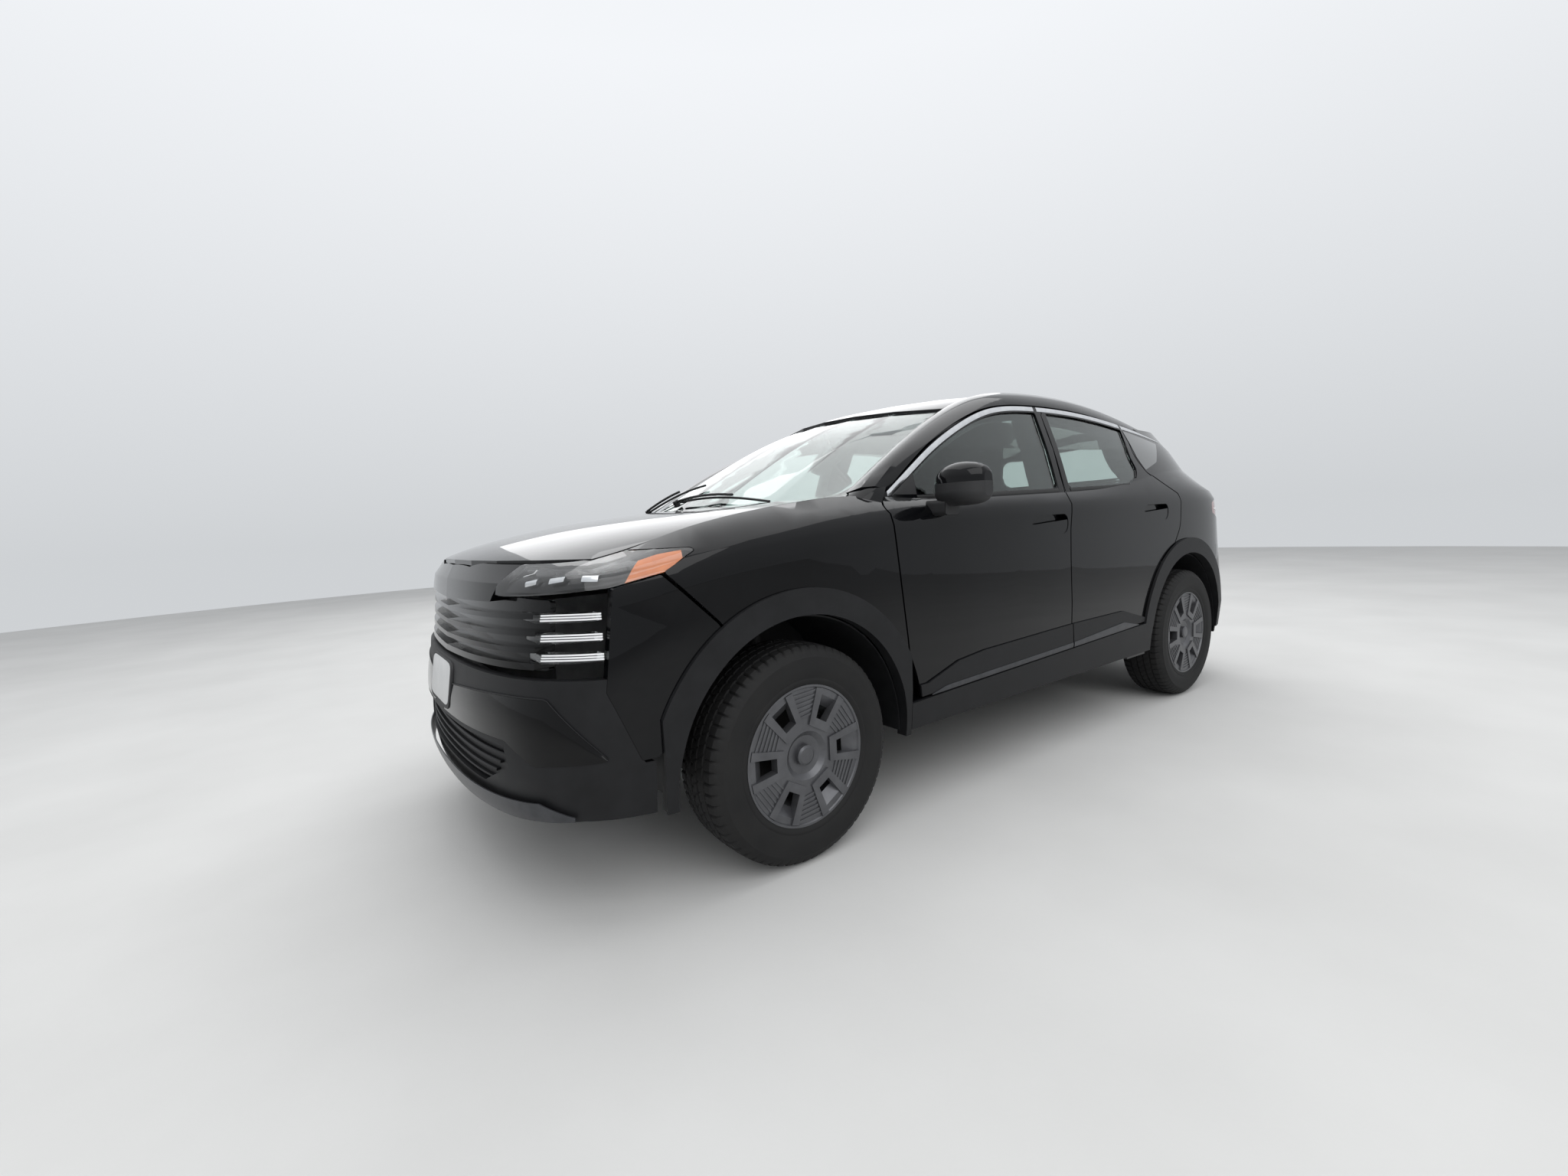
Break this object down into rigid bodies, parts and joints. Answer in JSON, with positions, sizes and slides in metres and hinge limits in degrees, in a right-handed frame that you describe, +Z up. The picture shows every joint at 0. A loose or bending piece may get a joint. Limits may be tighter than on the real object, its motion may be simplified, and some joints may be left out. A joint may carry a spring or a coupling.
{
  "type": "crossover SUV",
  "caption": "Compact five-door crossover SUV with opening doors, hood and tailgate, steered front wheels and free-rolling tyres",
  "frame": {"origin": "On the ground, under the centre of the car's bounding box", "axes": "+X points to the rear of the car, +Y to its right-hand side, +Z up"},
  "size_m": [4.3489, 2.12, 1.6164],
  "materials": {
    "paint": "gloss black",
    "trim": "satin dark grey",
    "gloss_black": "gloss",
    "glass": "clear, faint green",
    "lamp": "clear",
    "tail_lamp": "red",
    "wheel": "satin dark grey",
    "tyre": "matte",
    "chassis": "matte black",
    "underbody": "matte",
    "steel": "dull",
    "engine": "cast",
    "interior": "grained",
    "seat_cloth": "woven"
  },
  "bodies": {
    "body": {"arch_cladding": "trim", "arch_liners": "trim", "body_side_left": "paint", "body_side_right": "paint", "cowl_panel": "trim", "dashboard": "interior", "engine_block": "engine", "exhaust": "steel", "floor_pan": "underbody", "fuel_tank": "trim", "front_bumper": "paint", "front_fenders": "paint", "front_frame": "chassis", "front_grille": "gloss_black", "front_lower_bumper": "trim", "front_seats": "seat_cloth", "front_subframe": "chassis", "headlamps": "lamp", "rear_axle": "chassis", "rear_bumper": "paint", "rear_frame": "chassis", "rear_lower_bumper": "trim", "rear_seat": "seat_cloth", "roof_panel": "paint", "tail_lamps": "tail_lamp", "windscreen": "glass"},
    "front_door_left": {"front_door_left": "paint", "front_door_cladding_left": "trim", "front_door_glass_left": "glass", "mirror_left": "paint"},
    "rear_door_left": {"rear_door_left": "paint", "rear_door_cladding_left": "trim", "rear_door_glass_left": "glass"},
    "knuckle_left": {"knuckle_left": "chassis"},
    "front_wheel_left": {"front_wheel_left": "wheel", "front_tyre_left": "tyre"},
    "rear_wheel_left": {"rear_wheel_left": "wheel", "rear_tyre_left": "tyre"},
    "front_door_right": {"front_door_right": "paint", "front_door_cladding_right": "trim", "front_door_glass_right": "glass", "mirror_right": "paint"},
    "rear_door_right": {"rear_door_right": "paint", "rear_door_cladding_right": "trim", "rear_door_glass_right": "glass"},
    "knuckle_right": {"knuckle_right": "chassis"},
    "front_wheel_right": {"front_wheel_right": "wheel", "front_tyre_right": "tyre"},
    "rear_wheel_right": {"rear_wheel_right": "wheel", "rear_tyre_right": "tyre"},
    "hood": {"hood": "paint"},
    "tailgate": {"tailgate": "paint", "tailgate_glass": "glass"},
    "steering_wheel": {"steering_wheel": "interior"}
  },
  "joints": [
    {"name": "front_door_left_hinge", "type": "hinge", "parent": "body", "child": "front_door_left", "pos_m": [-0.898, -0.896, 0.75], "axis": [0, 0, -1], "range_deg": [0, 70]},
    {"name": "rear_door_left_hinge", "type": "hinge", "parent": "body", "child": "rear_door_left", "pos_m": [0.166, -0.896, 0.75], "axis": [0, 0, -1], "range_deg": [0, 70]},
    {"name": "steering_left", "type": "hinge", "parent": "body", "child": "knuckle_left", "pos_m": [-1.313, -0.738, 0.226], "axis": [0, 0.2375, 0.9714], "range_deg": [-35, 35]},
    {"name": "front_wheel_left_axle", "type": "hinge", "parent": "knuckle_left", "child": "front_wheel_left", "pos_m": [-1.313, -0.785, 0.343], "axis": [0, 1, 0], "continuous": true},
    {"name": "rear_wheel_left_axle", "type": "hinge", "parent": "body", "child": "rear_wheel_left", "pos_m": [1.344, -0.785, 0.343], "axis": [0, 1, 0], "continuous": true},
    {"name": "front_door_right_hinge", "type": "hinge", "parent": "body", "child": "front_door_right", "pos_m": [-0.898, 0.896, 0.75], "axis": [0, 0, 1], "range_deg": [0, 70]},
    {"name": "rear_door_right_hinge", "type": "hinge", "parent": "body", "child": "rear_door_right", "pos_m": [0.166, 0.896, 0.75], "axis": [0, 0, 1], "range_deg": [0, 70]},
    {"name": "steering_right", "type": "hinge", "parent": "body", "child": "knuckle_right", "pos_m": [-1.313, 0.738, 0.226], "axis": [0, -0.2375, 0.9714], "range_deg": [-35, 35]},
    {"name": "front_wheel_right_axle", "type": "hinge", "parent": "knuckle_right", "child": "front_wheel_right", "pos_m": [-1.313, 0.785, 0.343], "axis": [0, 1, 0], "continuous": true},
    {"name": "rear_wheel_right_axle", "type": "hinge", "parent": "body", "child": "rear_wheel_right", "pos_m": [1.344, 0.785, 0.343], "axis": [0, 1, 0], "continuous": true},
    {"name": "hood_hinge", "type": "hinge", "parent": "body", "child": "hood", "pos_m": [-1.085, 0, 1.138], "axis": [0, 1, 0], "range_deg": [0, 50]},
    {"name": "tailgate_hinge", "type": "hinge", "parent": "body", "child": "tailgate", "pos_m": [1.484, 0, 1.496], "axis": [0, -1, 0], "range_deg": [0, 75]},
    {"name": "steering_wheel_turn", "type": "hinge", "parent": "body", "child": "steering_wheel", "pos_m": [-0.33, -0.37, 0.955], "axis": [0.9135, 0, 0.4067], "range_deg": [-540, 540]}
  ],
  "couplings": [
    {"joint": "steering_right", "follows": "steering_left", "ratio": 1},
    {"joint": "steering_wheel_turn", "follows": "steering_left", "ratio": -15}
  ]
}
